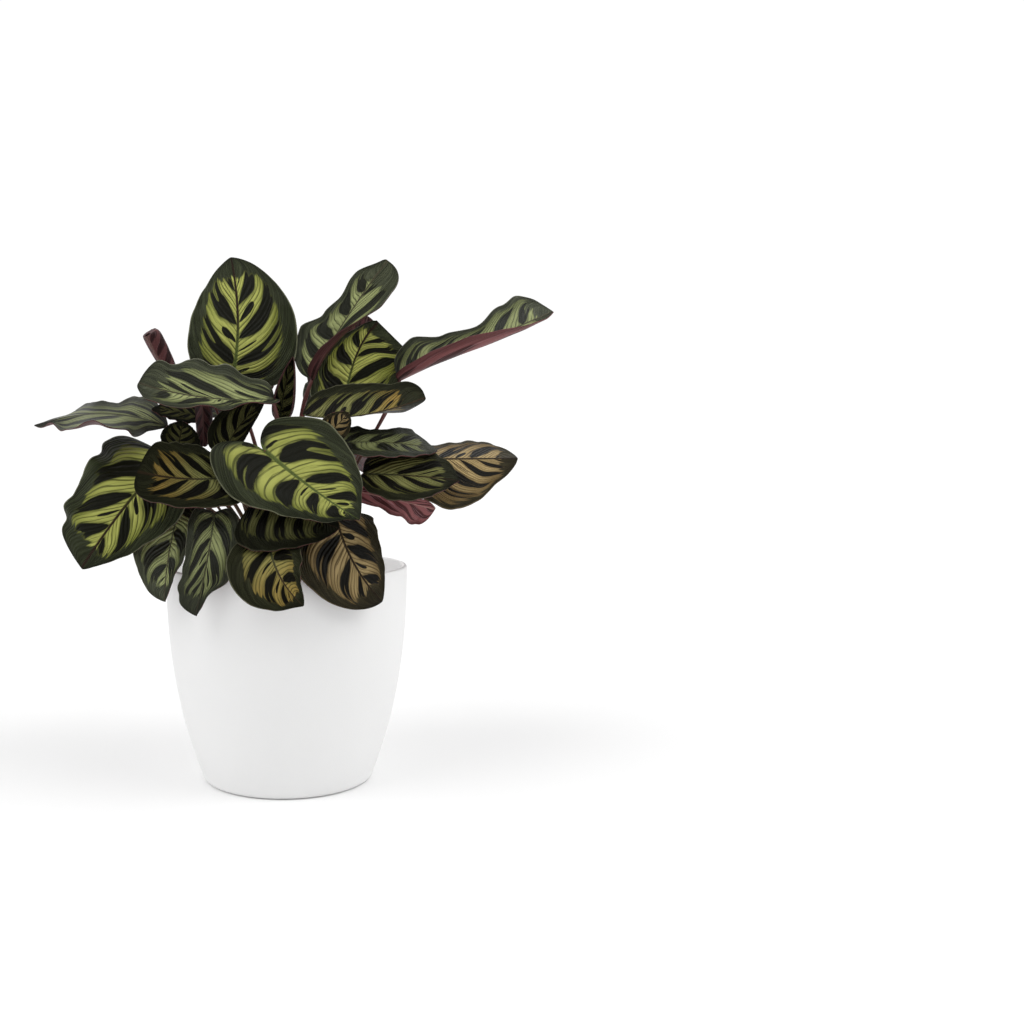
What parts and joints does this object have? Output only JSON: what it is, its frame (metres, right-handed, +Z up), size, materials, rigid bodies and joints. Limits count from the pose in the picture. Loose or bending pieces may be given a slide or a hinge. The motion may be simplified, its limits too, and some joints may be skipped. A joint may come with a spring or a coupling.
{
  "type": "potted calathea",
  "caption": "Leafy house plant with ovate, feather-patterned leaves on slender stalks, standing in soil in a tapered white decorative pot.",
  "frame": {"origin": "centre of the pot's flat foot, on the surface it stands on", "axes": "+Z up along the pot's axis; the plant's front, where the large centre leaf hangs out, faces -Y; +X is to the right seen from the front"},
  "size_m": [0.2996, 0.1959, 0.3043],
  "materials": {
    "pot_white": "matte",
    "pot_black": "satin",
    "soil": "matte",
    "stalk": "satin",
    "leaf_lime": "satin",
    "leaf_green": "satin",
    "leaf_grey_green": "satin",
    "leaf_bronze": "satin",
    "leaf_burgundy": "satin"
  },
  "bodies": {
    "root": {"grower_pot": "pot_black", "leaf_back_left": "leaf_green", "leaf_back_low": "leaf_lime", "leaf_back_lower_left": "leaf_lime", "leaf_back_lower_right": "leaf_lime", "leaf_back_right": "leaf_green", "leaf_back_upper_left": "leaf_green", "leaf_back_upper_right": "leaf_green", "leaf_bronze_far_right": "leaf_bronze", "leaf_bronze_left": "leaf_bronze", "leaf_bud_centre": "leaf_burgundy", "leaf_centre": "leaf_lime", "leaf_curled_left": "leaf_burgundy", "leaf_drooping_front": "leaf_green", "leaf_drooping_left": "leaf_grey_green", "leaf_drooping_middle_left": "leaf_grey_green", "leaf_drooping_right": "leaf_bronze", "leaf_far_left": "leaf_grey_green", "leaf_folded_upper_right": "leaf_grey_green", "leaf_grey_right": "leaf_grey_green", "leaf_long_far_right": "leaf_grey_green", "leaf_lower_left": "leaf_lime", "leaf_middle_right": "leaf_green", "leaf_rolled_left": "leaf_burgundy", "leaf_shaded_centre": "leaf_green", "leaf_shaded_front": "leaf_green", "leaf_shelf_left": "leaf_grey_green", "leaf_shelf_right": "leaf_green", "leaf_turned_right": "leaf_burgundy", "leaf_upper_left": "leaf_lime", "leaf_upper_right": "leaf_lime", "leaf_young_bronze": "leaf_bronze", "leaf_young_left": "leaf_green", "leaf_young_upper_left": "leaf_green", "potting_soil": "soil", "stem_back_left": "stalk", "stem_back_low": "stalk", "stem_back_lower_left": "stalk", "stem_back_lower_right": "stalk", "stem_back_right": "stalk", "stem_back_upper_left": "stalk", "stem_back_upper_right": "stalk", "stem_bronze_far_right": "stalk", "stem_bronze_left": "stalk", "stem_centre": "stalk", "stem_drooping_front": "stalk", "stem_drooping_left": "stalk", "stem_drooping_middle_left": "stalk", "stem_drooping_right": "stalk", "stem_far_left": "stalk", "stem_folded_upper_right": "stalk", "stem_grey_right": "stalk", "stem_long_far_right": "stalk", "stem_lower_left": "stalk", "stem_middle_right": "stalk", "stem_shelf_left": "stalk", "stem_shelf_right": "stalk", "stem_upper_left": "stalk", "stem_upper_right": "stalk", "white_pot": "pot_white"}
  },
  "joints": []
}
